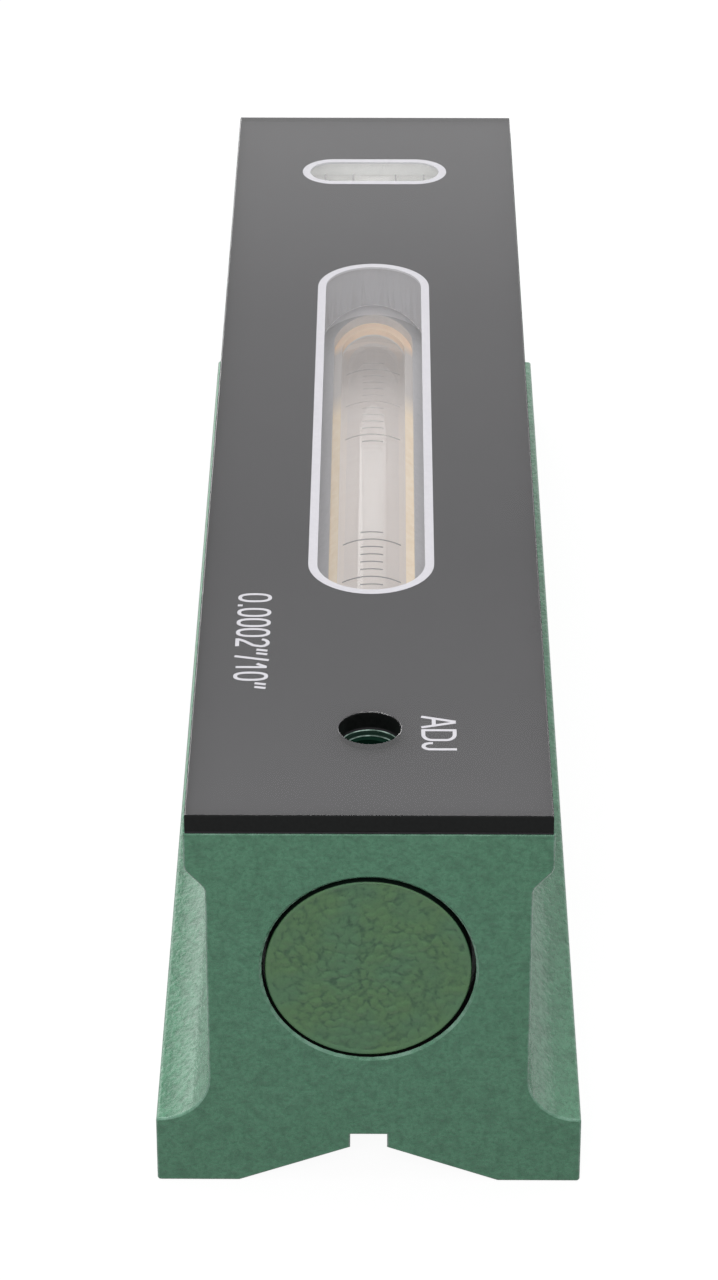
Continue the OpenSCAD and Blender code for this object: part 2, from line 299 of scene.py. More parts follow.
def blendValue(amount, first, second):
    node = addNode(amount.id_data, "Mix")
    setInput(node.inputs[0], amount)
    setInput(node.inputs[2], first)
    setInput(node.inputs[3], second)
    return node.outputs[0]


def noise(place, size, detail=3.0, roughness=0.5):
    node = addNode(place.id_data, "TexNoise", {
        "Vector": place, "Scale": 1 / mm(size), "Detail": detail, "Roughness": roughness})
    return node.outputs["Fac"]


def stretched(place, factors):
    return addNode(place.id_data, "VectorMath", {0: place, 1: factors}, operation="MULTIPLY").outputs[0]


def mottle(pattern, colours):
    # two close colours that follow a noise
    return blend(remap(pattern, 0.35, 0.65), *colours)


def setGloss(shader, pattern, gloss):
    # a roughness between two values that follows a noise
    setInput(shader.inputs["Roughness"], remap(pattern, 0.3, 0.7, *gloss))


def setBump(shader, height, depth):
    node = addNode(height.id_data, "Bump", {"Height": height, "Distance": mm(depth), "Strength": 1.0})
    setInput(shader.inputs["Normal"], node.outputs["Normal"])


socketNames = {
    "colour": "Base Color",
    "metallic": "Metallic",
    "roughness": "Roughness",
    "ior": "IOR",
    "specular": "Specular IOR Level",
    "transmission": "Transmission Weight",
}


def startMaterial(name, **values):
    material = bpy.data.materials.new(name)
    material.use_nodes = True
    tree = material.node_tree
    tree.nodes.clear()
    shader = addNode(tree, "BsdfPrincipled")
    addNode(tree, "OutputMaterial", {"Surface": shader.outputs["BSDF"]})
    place = addNode(tree, "TexCoord").outputs["Object"]
    for socket, value in values.items():
        shader.inputs[socketNames[socket]].default_value = value
    return material, shader, place


# finishes: a spread gives the noise values between which a colour comes in, and how much of it

paintLook = {
    "face": (0.068, 0.222, 0.126, 1),
    "dark": (0.028, 0.110, 0.060, 1),
    "pale": (0.086, 0.250, 0.150, 1),
    # rubbed paint on the broken edges, pale enough to also stand in for their highlights
    "worn": (0.24, 0.40, 0.32, 1),
    # painted shade in the adjusting hole
    "holeShade": (0.004, 0.022, 0.013, 1),
    # painted highlights on the adjusting hole's rims
    "rim": (0.50, 0.68, 0.60, 1),
    # painted shade just inside the bore's mouths
    "gap": (0.006, 0.008, 0.007, 1),
    "stretch": (1.0, 0.6, 1.0),
    "grain": 0.5,
    "grainSpread": (0.45, 0.70, 0.0, 0.60),
    "lump": 1.3,
    "lumpSpread": (0.42, 0.72, 0.0, 0.55),
    "lumpRise": -0.9,
    "cloud": 9.0,
    "cloudSpread": (0.3, 0.7, 0.0, 0.6),
    "wornPatch": 2.5,
    "wornSpread": (0.38, 0.62, 0.05, 0.55),
    "rimPatch": 1.0,
    "rimSpread": (0.40, 0.6, 0.25, 1.0),
    "depth": 0.10,
    "gloss": (0.16, 0.34),
    "holeRoughness": 0.65,
    "specular": 0.5,
    "sunkSpecular": 0.04,
}

ironLook = {
    "colours": ((0.40, 0.40, 0.41, 1), (0.30, 0.30, 0.31, 1)),
    "line": 0.25,
    "stretch": (1.0, 0.06, 1.0),
    "lineRise": 0.5,
    "pore": 0.5,
    "poreSpread": (0.35, 0.7),
    "poreRise": 0.3,
    "rise": 0.25,
    "roughness": 0.42,
    "metallic": 0.75,
}

primerLook = {
    "colours": ((0.335, 0.325, 0.35, 1), (0.31, 0.30, 0.325, 1)),
    "cloud": 4.0,
    "spread": (0.3, 0.7),
    # painted light: near white on the bore's roof beside the window, lifting its shade
    "roof": (0.92, 0.91, 0.94, 1),
    "roughness": 0.95,
}

# where the casting's finishes begin and end: heights from the base, and half widths or radii from an axis
castingZones = {
    "skin": 0.04,
    "grooveHalf": 14.8,
    "grooveSlope": 20.0,
    "slotHalf": 2.14,
    "slotTop": 6.45,
    "boreSkin": 0.06,
    "boreEnd": 99.68,
    "gapFrom": 96.5,
    "wellRise": 6.0,
    "windowHalf": (7.4, 48.5),
    "pocketHalf": (15.1, 5.2),
    "roofEnd": 72.0,
    "holeRadius": 3.55,
    "holeLow": 42.0,
    "holeTop": 46.78,
    "sunkTop": 46.2,
    "innerRim": (46.22, 46.32),
    "innerRimRadius": 3.10,
    "outerRimLow": 46.72,
    "brokenEdge": (99.70, 99.985),
}


def castingMasks(place):
    zones = castingZones
    x, y, z = splitAxes(place)
    sideways = calc("ABSOLUTE", x)
    along = calc("ABSOLUTE", y)
    # the base face, the flanks of the V and its slot are ground
    skin = mm(zones["skin"])
    reach = calc("SUBTRACT", mm(zones["grooveHalf"]), sideways)
    flank = calc("ADD", both(reach, math.tan(math.radians(zones["grooveSlope"]))), skin)
    inSlot = both(isBelow(sideways, mm(zones["slotHalf"])), isBelow(z, mm(zones["slotTop"])))
    ground = either(isBelow(z, skin), isBelow(z, flank), inSlot)
    # the bore is bare, but its roof, the window's walls and the cross pocket have primer, and the roof's is
    # painted near white: painted light that lifts the shade there
    fromAxis = distance(x, calc("SUBTRACT", z, mm(boreHeight)))
    inBore = both(isBelow(fromAxis, mm(boreRadius + zones["boreSkin"])),
                  isBelow(along, mm(zones["boreEnd"])))
    high = isAbove(z, mm(boreHeight + zones["wellRise"]))
    halfWidth, halfLong = mm(*zones["windowHalf"])
    inWindow = both(isBelow(sideways, halfWidth), isBelow(along, halfLong), high)
    fromCross = calc("ABSOLUTE", calc("SUBTRACT", y, mm(crossY)))
    halfWidth, halfLong = mm(*zones["pocketHalf"])
    inPocket = both(isBelow(fromCross, halfLong), isBelow(sideways, halfWidth), high)
    roof = both(inBore, isBelow(along, mm(zones["roofEnd"])), high)
    # the adjusting hole has painted highlights on its rims and painted shade below them
    fromScrew = distance(x, calc("SUBTRACT", y, mm(screwY)))
    nearScrew = both(isBelow(fromScrew, mm(zones["holeRadius"])), isAbove(z, mm(zones["holeLow"])))
    innerRim = both(isBetween(z, *mm(*zones["innerRim"])),
                    isBelow(fromScrew, mm(zones["innerRimRadius"])))
    rims = either(isAbove(z, mm(zones["outerRimLow"])), innerRim)
    return {
        "bare": either(ground, inBore),
        "primed": either(inWindow, inPocket, roof),
        "roof": roof,
        # painted shade just inside the bore's mouths
        "gap": both(inBore, isAbove(along, mm(zones["gapFrom"]))),
        "hole": both(nearScrew, isBelow(z, mm(zones["holeTop"]))),
        "rim": both(nearScrew, rims),
        "sunk": both(nearScrew, isBelow(z, mm(zones["sunkTop"]))),
        "edge": isBetween(along, *mm(*zones["brokenEdge"])),
    }


def paintPattern(place):
    # hammered enamel: soft lumps, fine darker specks and slow clouds
    look = paintLook
    drawn = stretched(place, look["stretch"])
    grain = noise(drawn, look["grain"], 2.0)
    lumps = noise(drawn, look["lump"], 2.0)
    cloud = noise(place, look["cloud"])
    colour = blend(remap(cloud, *look["cloudSpread"]), look["face"], look["pale"])
    colour = blend(remap(lumps, *look["lumpSpread"]), colour, look["dark"])
    colour = blend(remap(grain, *look["grainSpread"]), colour, look["dark"])
    height = calc("SUBTRACT", both(lumps, look["lumpRise"]), grain)
    return colour, height, grain


def bareIron(place):
    # machined cast iron: fine lines along the cut and grey pores
    look = ironLook
    lines = noise(stretched(place, look["stretch"]), look["line"])
    pores = noise(place, look["pore"], 4.0, 0.7)
    colour = blend(remap(pores, *look["poreSpread"]), *look["colours"])
    height = calc("ADD", both(lines, look["lineRise"]), both(pores, look["poreRise"]))
    return colour, height


def greyPrimer(place):
    # on the walls that the windows look in on
    cloud = noise(place, primerLook["cloud"])
    return blend(remap(cloud, *primerLook["spread"]), *primerLook["colours"])


def buildCastingPaint():
    look = paintLook
    material, shader, place = startMaterial("castingPaint")
    masks = castingMasks(place)
    colour, height, grain = paintPattern(place)
    # the paint is thin and rubbed along the broken edges of both ends, and its pale colour there also stands
    # in for their highlights: wear and painted highlight
    worn = remap(noise(place, look["wornPatch"], 4.0, 0.7), *look["wornSpread"])
    colour = blend(both(masks["edge"], worn), colour, look["worn"])
    # painted shade in the adjusting hole
    colour = blend(masks["hole"], colour, look["holeShade"])
    # painted highlights on the hole's rims, in patches
    rimGlints = remap(noise(place, look["rimPatch"]), *look["rimSpread"])
    colour = blend(both(masks["rim"], rimGlints), colour, look["rim"])
    ironColour, ironHeight = bareIron(place)
    colour = blend(masks["bare"], colour, ironColour)
    # painted shade: the bore's wall just inside both mouths is near black
    colour = blend(masks["gap"], colour, look["gap"])
    # painted light: the bore's roof beside the window is near white, lifting its shade
    primer = blend(masks["roof"], greyPrimer(place), primerLook["roof"])
    setInput(shader.inputs["Base Color"], blend(masks["primed"], colour, primer))
    roughness = remap(grain, 0.3, 0.7, *look["gloss"])
    roughness = blendValue(masks["bare"], roughness, ironLook["roughness"])
    roughness = blendValue(masks["hole"], roughness, look["holeRoughness"])
    roughness = blendValue(masks["primed"], roughness, primerLook["roughness"])
    setInput(shader.inputs["Roughness"], roughness)
    specular = blendValue(masks["sunk"], look["specular"], look["sunkSpecular"])
    setInput(shader.inputs["Specular IOR Level"], specular)
    metallic = both(calc("SUBTRACT", masks["bare"], masks["gap"]), ironLook["metallic"])
    setInput(shader.inputs["Metallic"], metallic)
    height = blendValue(masks["bare"], height, both(ironHeight, ironLook["rise"]))
    height = both(height, calc("SUBTRACT", 1.0, masks["primed"]))
    setBump(shader, height, look["depth"])
    return material


coverSizes = {
    "seatRadius": 12.0,
    "faceRadius": 11.56,
    "faceSink": 0.32,
    "drop": (-0.07, -0.21),
    "step": 2.0,
    "thickness": 5.0,
    "rimBevel": 0.3,
    "rimSegments": 4,
    "flatRim": 0.5,
    "rings": 50,
    "around": 240,
    "hammer": (("VORONOI", 1.15, 3.2, 0.12), ("CLOUDS", 0.9, 1.4, 0.08)),
    "hammerLevel": 0.7,
}

coverLook = {
    "colours": ((0.080, 0.180, 0.074, 1), (0.070, 0.172, 0.084, 1)),
    # painted shade in the dents, also used for the fine dark specks
    "dentShade": (0.016, 0.066, 0.030, 1),
    # painted shade round the face
    "gap": (0.005, 0.011, 0.008, 1),
    "gapSkin": 0.04,
    "patch": 4.5,
    "patchSpread": (0.38, 0.62),
    "worn": 1.6,
    "wornSpread": (0.38, 0.60, 0.25, 1.0),
    "dentSpread": (0.55, 1.0, 0.0, 0.95),
    "grain": 0.4,
    "grainSpread": (0.5, 0.8, 0.0, 0.35),
    "depth": 0.05,
    "gloss": (0.28, 0.44),
}


def buildCoverPaint():
    # thick hammered enamel, with painted shade where the cover's own dent attribute is deep
    look = coverLook
    material, shader, place = startMaterial("coverPaint")
    dent = addNode(material.node_tree, "Attribute", attribute_name="dent").outputs["Fac"]
    patch = noise(place, look["patch"], 1.5)
    grain = noise(place, look["grain"], 4.0, 0.6)
    # the painted dent shade comes in patches that follow a noise
    worn = remap(noise(place, look["worn"]), *look["wornSpread"])
    dentShade = both(remap(dent, *look["dentSpread"]), worn)
    colour = blend(remap(patch, *look["patchSpread"]), *look["colours"])
    colour = blend(dentShade, colour, look["dentShade"])
    colour = blend(remap(grain, *look["grainSpread"]), colour, look["dentShade"])
    # painted shade: the sides in the gap round the face are painted near black
    x, y, z = splitAxes(place)
    dropX, dropZ = coverSizes["drop"]
    fromAxis = distance(calc("SUBTRACT", x, mm(dropX)),
                        calc("SUBTRACT", z, mm(boreHeight + dropZ)))
    inShadedGap = isAbove(fromAxis, mm(coverSizes["faceRadius"] - look["gapSkin"]))
    setInput(shader.inputs["Base Color"], blend(inShadedGap, colour, look["gap"]))
    setGloss(shader, grain, look["gloss"])
    setBump(shader, grain, look["depth"])
    return material


plainLooks = {
    "blackPrint": {
        "colours": ((0.038, 0.037, 0.040, 1), (0.0395, 0.0385, 0.0415, 1)),
        "size": 5.0, "gloss": (0.45, 0.6), "sockets": {"specular": 0.0}},
    "whitePrint": {
        "colours": ((0.55, 0.54, 0.575, 1), (0.52, 0.51, 0.545, 1)),
        "size": 0.6, "gloss": (0.45, 0.6), "sockets": {"specular": 0.0}},
    "lineInk": {
        "colours": ((0.13, 0.12, 0.12, 1), (0.17, 0.16, 0.16, 1)),
        "size": 0.3, "gloss": (0.5, 0.7)},
    "holderWhite": {
        "colours": ((0.80, 0.80, 0.78, 1), (0.74, 0.74, 0.72, 1)),
        "size": 1.5, "gloss": (0.5, 0.65), "depth": 0.01},
    "tubeMetal": {
        "colours": ((0.62, 0.61, 0.63, 1), (0.57, 0.565, 0.58, 1)),
        "size": 0.8, "gloss": (0.42, 0.55), "depth": 0.01, "sockets": {"metallic": 0.3}},
    "steel": {
        "colours": ((0.50, 0.50, 0.51, 1), (0.40, 0.40, 0.41, 1)),
        "size": 0.6, "gloss": (0.28, 0.4), "depth": 0.01, "sockets": {"metallic": 1.0}},
    "darkSteel": {
        "colours": ((0.10, 0.10, 0.105, 1), (0.07, 0.07, 0.075, 1)),
        "size": 0.5, "gloss": (0.35, 0.5), "depth": 0.01, "sockets": {"metallic": 0.8}},
    "springSteel": {
        "colours": ((0.48, 0.47, 0.45, 1), (0.36, 0.35, 0.33, 1)),
        "size": 0.5, "gloss": (0.3, 0.42), "depth": 0.01, "sockets": {"metallic": 1.0}},
    "brass": {
        "colours": ((0.60, 0.42, 0.16, 1), (0.50, 0.34, 0.12, 1)),
        "size": 0.6, "gloss": (0.3, 0.42), "depth": 0.01, "sockets": {"metallic": 1.0}},
}


def startPatterned(name, look):
    # two close colours and a little uneven gloss in one fine noise, and often a slight grain
    material, shader, place = startMaterial(name, **look.get("sockets", {}))
    pattern = noise(place, look["size"], 4.0, 0.6)
    colour = mottle(pattern, look["colours"])
    setInput(shader.inputs["Base Color"], colour)
    setGloss(shader, pattern, look["gloss"])
    if "depth" in look:
        setBump(shader, pattern, look["depth"])
    return material, shader, place, colour


def buildPlain(name):
    return startPatterned(name, plainLooks[name])[0]


clearLooks = {
    "clearCover": {"ior": 1.49, "colour": (1.0, 1.0, 1.0, 1)},
    "vialGlass": {"ior": 1.5, "colour": (0.99, 0.985, 0.98, 1), "haze": 0.02, "hazeSize": 6.0},
    "wettedGlass": {"ior": 1.5 / 1.36, "colour": (1.0, 1.0, 1.0, 1)},
    "spirit": {"ior": 1.0, "colour": (0.995, 0.985, 0.975, 1)},
}


def buildClear(name):
    # light from the lamps and from matt faces passes straight through a clear piece
    look = clearLooks[name]
    material, shader, place = startMaterial(
        name, ior=look["ior"], transmission=1.0, colour=look["colour"], roughness=0.0)
    if "haze" in look:
        pattern = noise(place, look["hazeSize"])
        setInput(shader.inputs["Roughness"], remap(pattern, 0.4, 0.8, 0.0, look["haze"]))
    tree = material.node_tree
    paths = addNode(tree, "LightPath").outputs
    passing = either(paths["Is Shadow Ray"], paths["Is Diffuse Ray"])
    straight = addNode(tree, "BsdfTransparent", {"Color": (1, 1, 1, 1)})
    mixed = addNode(tree, "MixShader", {0: passing, 1: shader.outputs[0], 2: straight.outputs[0]})
    output = next(node for node in tree.nodes if node.type == "OUTPUT_MATERIAL")
    tree.links.new(mixed.outputs[0], output.inputs["Surface"])
    return material


edgeLook = {
    "colours": ((0.004, 0.0045, 0.0045, 1), (0.007, 0.0075, 0.0075, 1)),
    "behind": (0.03, 0.03, 0.032, 1),
    "size": 0.5,
    "gloss": (0.35, 0.5),
    "sockets": {"specular": 0.12},
}


def buildEdgeBlack():
    # blackened plate edge, whose back, seen through the plate, is near the print's own black
    material, shader, place, colour = startPatterned("edgeBlack", edgeLook)
    behind = addNode(material.node_tree, "NewGeometry").outputs["Backfacing"]
    setInput(shader.inputs["Base Color"], blend(behind, colour, edgeLook["behind"]))
    return material


plasterLook = {
    "cream": ((0.86, 0.73, 0.56, 1), (0.80, 0.65, 0.46, 1)),
    "trough": ((0.81, 0.77, 0.75, 1), (0.79, 0.74, 0.715, 1)),
    "troughRadius": 8.15,
    # painted shade towards the far end
    "farShade": (0.50, 0.46, 0.44, 1),
    "stainedFrom": (21.0, 28.0),
    # the arc at the far end: its own gold, made brighter as painted light
    "arc": (1.0, 0.72, 0.48, 1),
    "arcFrom": (40.5, 43.5),
    "size": 1.2,
    "depth": 0.05,
    "roughness": 0.85,
}


def buildPlaster():
    # cream plaster, whiter in the trough that the vial lies in, with painted shade towards its far end, and a
    # brighter gold arc at that end that is partly its own colour and partly painted light
    look = plasterLook
    material, shader, place = startMaterial("plaster", roughness=look["roughness"])
    x, y, z = splitAxes(place)
    fromAxis = distance(x, calc("SUBTRACT", z, mm(boreHeight)))
    pattern = noise(place, look["size"], 4.0, 0.6)
    cream = mottle(pattern, look["cream"])
    # painted shade towards the far end
    cream = blend(remap(y, *mm(*look["stainedFrom"])), cream, look["farShade"])
    # the gold arc at the far end, partly painted light
    cream = blend(remap(y, *mm(*look["arcFrom"])), cream, look["arc"])
    inTrough = isBelow(fromAxis, mm(look["troughRadius"]))
    colour = blend(inTrough, cream, mottle(pattern, look["trough"]))
    setInput(shader.inputs["Base Color"], colour)
    setBump(shader, pattern, look["depth"])
    return material


tubeLook = {
    "colours": ((0.58, 0.57, 0.59, 1), (0.54, 0.535, 0.55, 1)),
    # painted light: near white beyond the window's ends
    "paintedLightBeyond": (0.97, 0.96, 0.98, 1),
    "pastFrom": (48.0, 48.1),
    "size": 0.8,
    "gloss": (0.42, 0.55),
    "metallic": 0.3,
    "depth": 0.01,
}


def buildTubeFinish():
    # drawn tube, painted near white beyond the window's ends: painted light that lifts the shade there
    material, shader, place, colour = startPatterned("tubeFinish", tubeLook)
    along = calc("ABSOLUTE", splitAxes(place)[1])
    paintedLightBeyond = remap(along, *mm(*tubeLook["pastFrom"]))
    setInput(shader.inputs["Base Color"], blend(paintedLightBeyond, colour, tubeLook["paintedLightBeyond"]))
    setInput(shader.inputs["Metallic"], remap(paintedLightBeyond, 0.0, 1.0, tubeLook["metallic"], 0.0))
    return material


inkFade = {
    "span": (-12.0, 24.0),
    "faint": 0.1,
}


def buildFadingInk():
    # the lines grow fainter towards the far end of the vial
    material, shader, place, colour = startPatterned("fadingInk", plainLooks["lineInk"])
    y = splitAxes(place)[1]
    setInput(shader.inputs["Alpha"], remap(y, *mm(*inkFade["span"]), 1.0, inkFade["faint"]))
    return material


airLook = {
    "colours": ((0.95, 0.93, 0.92, 1), (0.90, 0.88, 0.87, 1)),
    "size": 2.0,
    "gloss": (0.1, 0.2),
    "endFade": 2.2,
    "sideFade": (0.75, 1.5),
    "sideLeft": 0.1,
}


def buildBubbleAir(sizes):
    # a pale veil that thins towards the bubble's rim
    look = airLook
    material, shader, place = startMaterial(sizes["air"])
    pattern = noise(place, look["size"])
    x, y, z = splitAxes(place)
    side = calc("SUBTRACT", y, mm(sizes["place"][1]))
    along, across = (x, side) if sizes["turned"] else (side, x)
    half = sizes["bubbleHalf"]
    ends = remap(calc("ABSOLUTE", along), *mm(half - look["endFade"], half), 1.0, 0.0)
    sides = remap(calc("ABSOLUTE", across), *mm(*look["sideFade"]), 1.0, look["sideLeft"])
    setInput(shader.inputs["Base Color"], mottle(pattern, look["colours"]))
    setGloss(shader, pattern, look["gloss"])
    setInput(shader.inputs["Alpha"], both(ends, sides, sizes["airStrength"]))
    return material


castingPaint = buildCastingPaint()
coverPaint = buildCoverPaint()
whitePrint = buildPlain("whitePrint")
springSteel = buildPlain("springSteel")
tubeMetal = buildPlain("tubeMetal")
edgeBlack = buildEdgeBlack()
clearCover = buildClear("clearCover")
vialGlass = buildClear("vialGlass")
wettedGlass = buildClear("wettedGlass")
spirit = buildClear("spirit")

for nodeName, finish in {
    "printed_mask": buildPlain("blackPrint"),
    "main_window_outline": whitePrint,
    "cross_window_outline": whitePrint,
    "pivot_pin": buildPlain("steel"),
    "vial_tube": buildTubeFinish(),
    "tube_front_end": tubeMetal,
    "tube_rear_end": tubeMetal,
    "plaster_bed": buildPlaster(),
    "vial_graduations": buildFadingInk(),
    "cross_vial_graduations": buildPlain("lineInk"),
    "thrust_pad": buildPlain("brass"),
    "adjusting_screw": buildPlain("darkSteel"),
    "return_spring": springSteel,
    "cross_vial_holder": buildPlain("holderWhite"),
}.items():
    nodes[nodeName].data.materials.clear()
    nodes[nodeName].data.materials.append(finish)
print("finishes made")

# casting: the CAD solid with its end edges broken, as a file does it before painting

castingEdges = {
    "width": 0.35,
    "segments": 6,
    "skin": 0.01,
    "boreBreak": 0.10,
    "screwMouth": 3.4,
    "screwLedge": 46.3,
    "mouthBreak": 0.1,
    "mouthSides": 128,
    "folds": (((18.1, 39.5), (18.4613, 39.8927)), ((20.4, 42.0), (20.0387, 41.6073))),
    "smoothAngle": 16,
}


def endOutline(piece):
    # the corners round the front face, without the bore, in order
    mesh = piece.data
    uses = {}
    for face in mesh.polygons:
        if face.normal.y < -0.999 and face.center.y < -mm(halfLength - margin):
            for pair in face.edge_keys:
                uses[pair] = uses.get(pair, 0) + 1
    beside = {}
    for first, second in (pair for pair, count in uses.items() if count == 1):
        beside.setdefault(first, []).append(second)
        beside.setdefault(second, []).append(first)
    start = min(beside, key=lambda index: mesh.vertices[index].co.x + mesh.vertices[index].co.z)
    order = [start, beside[start][0]]
    while order[-1] != start:
        order.append(next(index for index in beside[order[-1]] if index != order[-2]))
    return [Vector((mesh.vertices[index].co.x, mesh.vertices[index].co.z)) for index in order[:-1]]


def straightened(points):
    # leaves out the points that lie on a straight run
    kept = []
    for index, point in enumerate(points):
        before = (point - points[index - 1]).normalized()
        after = (points[(index + 1) % len(points)] - point).normalized()
        if abs(before.cross(after)) > 1e-4:
            kept.append(point)
    return kept


def widened(points, amount):
    # moves an outline outwards by the amount, corner by corner
    area = sum(points[index - 1].cross(point) for index, point in enumerate(points))
    outwards = 1 if area > 0 else -1
    moved = []
    for index, point in enumerate(points):
        before = (point - points[index - 1]).normalized()
        after = (points[(index + 1) % len(points)] - point).normalized()
        normals = [Vector((run.y, -run.x)) * outwards for run in (before, after)]
        middle = (normals[0] + normals[1]).normalized()
        moved.append(point + middle * (amount / middle.dot(normals[0])))
    return moved


def buildTrim(outline):
    # a bar a hair wider than the casting, with rounded ends, which the casting is cut to
    sizes = castingEdges
    reach, width, endY = sizes["skin"], sizes["width"], halfLength + sizes["skin"]
    turns = [math.pi / 2 * step / sizes["segments"] for step in range(sizes["segments"] + 1)]
    rings = [(reach - width * (1 - math.sin(turn)), endY - width * (1 - math.cos(turn))) for turn in turns]
    rings = [(grow, -y) for grow, y in rings] + [(grow, y) for grow, y in reversed(rings)]
    bpy.ops.mesh.primitive_grid_add(x_subdivisions=len(outline), y_subdivisions=len(rings) - 1, size=1)
    trim = named("trim")
    points = iter(trim.data.vertices)
    for grow, y in rings:
        ring = widened(outline, mm(grow))
        for corner in ring + ring[:1]:
            next(points).co = (corner.x, mm(y), corner.y)
    setMode("EDIT")
    weld(drawnReach)
    bpy.ops.mesh.fill_holes(sides=0)
    turnOutwards()
    return trim


def breakMouth(piece, radius, width, place, turn):
    # a 45 degree cone that breaks the edge of a round hole
    depth = 2 * width
    bpy.ops.mesh.primitive_cone_add(
        vertices=castingEdges["mouthSides"], radius1=mm(radius), radius2=mm(radius + depth), depth=mm(depth),
        location=mm(*place), rotation=turn)
    cutter = named("mouthCutter")
    applyPlace(cutter)
    cutWith(piece, cutter)


def closeFolds(piece):
    # the CAD mesh has hairline folds at the slope: they are drawn back and the ends filled afresh
    points = piece.data.vertices

    def standingAt(place):
        return [point for point in points if max(
            abs(abs(point.co.x) - mm(place[0])), abs(point.co.z - mm(place[1]))) < mm(weldReach)]

    for stray, goal in castingEdges["folds"]:
        goals = standingAt(goal)
        for point in standingAt(stray):
            point.co = min(goals, key=lambda other: (other.co - point.co).length).co
    endY = mm(halfLength - weldReach)
    selectFaces(piece, lambda face: abs(face.center.y) > endY)
    bpy.ops.mesh.delete(type="FACE")
    weld(weldReach)
    for side in (-1, 1):
        selectEdges(piece, lambda first, second: min(first.y * side, second.y * side) > endY)
        bpy.ops.mesh.fill(use_beauty=False)
    turnOutwards()


def buildCasting():
    piece = copyNode("casting", "body")
    pick(piece)
    setMode("EDIT")
    weld(weldReach)
    setMode("OBJECT")
    closeFolds(piece)
    cutWith(piece, buildTrim(straightened(endOutline(piece))), "INTERSECT")
    width = castingEdges["boreBreak"]
    for side in (-1, 1):
        breakMouth(piece, boreRadius, width, (0, side * halfLength, boreHeight), (-side * math.pi / 2, 0, 0))
    # the screw's hole opens into a shallow seat with its own broken edge
    mouth = castingEdges["screwMouth"]
    seatDepth = castingTop - castingEdges["screwLedge"]
    bpy.ops.mesh.primitive_cylinder_add(
        vertices=castingEdges["mouthSides"], radius=mm(mouth), depth=mm(2 * seatDepth),
        location=mm(0, screwY, castingTop))
    cutWith(piece, named("seatCutter"))
    breakMouth(piece, mouth, castingEdges["mouthBreak"], (0, screwY, castingTop), (0, 0, 0))
    mergeClose(piece)
    finishPiece(piece, "level_bar", castingPaint, ("body",), castingEdges["smoothAngle"])
    flattenFaces(piece)


buildCasting()
print("casting made")

# end covers: painted discs with a hammered face in the bore's two mouths

def buildCover(name, side, replaced):
    sizes = coverSizes
    face = side * (halfLength - sizes["faceSink"])
    inner = face - side * sizes["thickness"]
    stepAt = face - side * sizes["step"]
    piece = rodAlongY(name, sizes["seatRadius"], min(inner, stepAt), max(inner, stepAt), sizes["around"])
    selectFaces(piece, lambda facet: facet.normal.y * side > straightOn)
    bpy.ops.mesh.inset(thickness=mm(sizes["seatRadius"] - sizes["faceRadius"]))
    shift = mm(sizes["drop"][0], side * sizes["step"], sizes["drop"][1])
    bpy.ops.mesh.extrude_region_move(TRANSFORM_OT_translate={"value": shift})
    bpy.ops.mesh.bevel(offset=mm(sizes["rimBevel"]), segments=sizes["rimSegments"], affect="EDGES")
    ringWidth = (sizes["faceRadius"] - sizes["rimBevel"]) / (sizes["rings"] + 1)
    selectFaces(piece, lambda facet: abs(facet.center.y - mm(face)) < mm(margin) and len(facet.vertices) > 4)
    for ring in range(sizes["rings"]):
        bpy.ops.mesh.inset(thickness=mm(ringWidth))
    bpy.ops.mesh.poke()
    setMode("OBJECT")
    group = piece.vertex_groups.new(name="hammered")
    for point in piece.data.vertices:
        flat = math.hypot(point.co.x, point.co.z - mm(boreHeight))
        if abs(point.co.y - mm(face)) < mm(margin) and flat < mm(sizes["faceRadius"] - sizes["flatRim"]):
            group.add([point.index], 1.0, "REPLACE")
    # two dent patterns, each with its size, gain and depth
    for kind, size, gain, depth in sizes["hammer"]:
        dents = bpy.data.textures.new(name + kind.capitalize(), kind)
        dents.noise_scale = mm(size)
        if kind == "VORONOI":
            dents.noise_intensity = gain
            dents.weight_1 = -1.0
            dents.weight_2 = 1.0
        else:
            dents.noise_type = "HARD_NOISE"
            dents.noise_depth = 1
            dents.contrast = gain
        applyModifier(piece, "DISPLACE", texture=dents, texture_coords="LOCAL", vertex_group="hammered",
                      strength=mm(depth), mid_level=sizes["hammerLevel"])
    deepest = sum(depth for kind, size, gain, depth in sizes["hammer"]) * sizes["hammerLevel"]
    dent = piece.data.attributes.new("dent", "FLOAT", "POINT")
    for point in piece.data.vertices:
        sunk = side * (mm(face) - point.co.y) / mm(deepest)
        dent.data[point.index].value = max(0.0, min(1.0, sunk)) if sunk < 2 else 0.0
    finishPiece(piece, "level_bar", coverPaint, (replaced,))


buildCover("front_cover", -1, "front_plug")
buildCover("rear_cover", 1, "rear_plug")
print("end covers made")

# cover plate: clear, with blackened edges, over the black print

plateSizes = {
    "width": 40.4,
    "bottom": 47.06,
    "top": 49.1,
    "holeRadius": 3.5,
    "holeSides": 96,
    "edgeBevel": 0.15,
    "edgeSegments": 2,
    "smoothAngle": 20,
}


